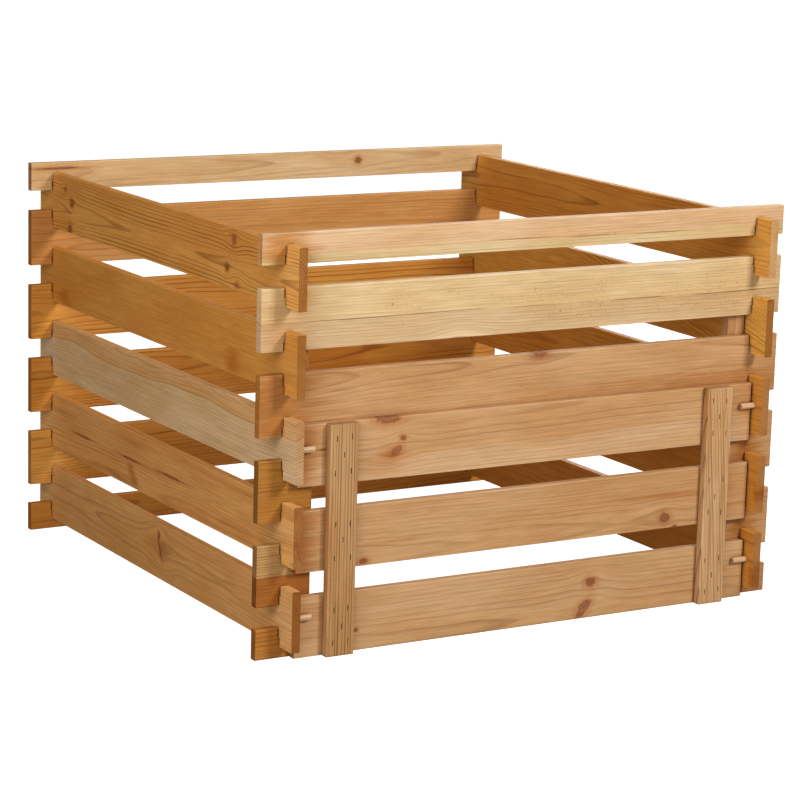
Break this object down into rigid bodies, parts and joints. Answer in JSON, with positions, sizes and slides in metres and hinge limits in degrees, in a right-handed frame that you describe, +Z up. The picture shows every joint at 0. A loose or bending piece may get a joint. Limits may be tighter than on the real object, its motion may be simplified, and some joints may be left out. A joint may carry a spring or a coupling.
{
  "type": "wooden composter",
  "caption": "Square open compost bin of notched pine boards that lock at the corners, with a lift-out slatted hatch held by wooden pegs at the front.",
  "frame": {"origin": "on the ground, below the middle of the bin", "axes": "+X to the right along the front wall, +Y from the front wall to the back wall, +Z up"},
  "size_m": [1, 1, 0.68],
  "materials": {
    "front_boards": "planed pine with a thin honey glaze",
    "front_stubs": "planed pine with a thin honey glaze",
    "back_boards": "planed pine with a thin honey glaze",
    "left_boards": "planed pine with a thin honey glaze",
    "right_boards": "planed pine with a thin honey glaze",
    "corner_posts": "planed pine with a thin honey glaze",
    "pegs": "planed pine with a thin honey glaze",
    "hatch_boards": "planed pine with a thin honey glaze",
    "hatch_battens": "planed pine with a thin honey glaze",
    "staples": "dull galvanised wire"
  },
  "bodies": {
    "bin": {"front_top_board": "front_boards", "front_board_2": "front_boards", "front_board_3": "front_boards", "left_front_stub_1": "front_stubs", "left_front_stub_2": "front_stubs", "left_front_stub_3": "front_stubs", "right_front_stub_1": "front_stubs", "right_front_stub_2": "front_stubs", "right_front_stub_3": "front_stubs", "back_top_board": "back_boards", "back_board_2": "back_boards", "back_board_3": "back_boards", "back_board_4": "back_boards", "back_board_5": "back_boards", "back_base_board": "back_boards", "left_board_1": "left_boards", "left_board_2": "left_boards", "left_board_3": "left_boards", "left_board_4": "left_boards", "left_board_5": "left_boards", "right_board_1": "right_boards", "right_board_2": "right_boards", "right_board_3": "right_boards", "right_board_4": "right_boards", "right_board_5": "right_boards", "left_corner_post": "corner_posts", "right_corner_post": "corner_posts", "left_upper_peg": "pegs", "left_lower_peg": "pegs", "right_upper_peg": "pegs", "right_lower_peg": "pegs", "left_post_staples": "staples", "right_post_staples": "staples"},
    "hatch": {"hatch_board_1": "hatch_boards", "hatch_board_2": "hatch_boards", "hatch_board_3": "hatch_boards", "hatch_left_batten": "hatch_battens", "hatch_right_batten": "hatch_battens", "left_batten_staples": "staples", "right_batten_staples": "staples"}
  },
  "joints": [
    {"name": "hatch_lift", "type": "slide", "parent": "bin", "child": "hatch", "axis": [0, 0, 1], "range_m": [0, 0.35]}
  ]
}
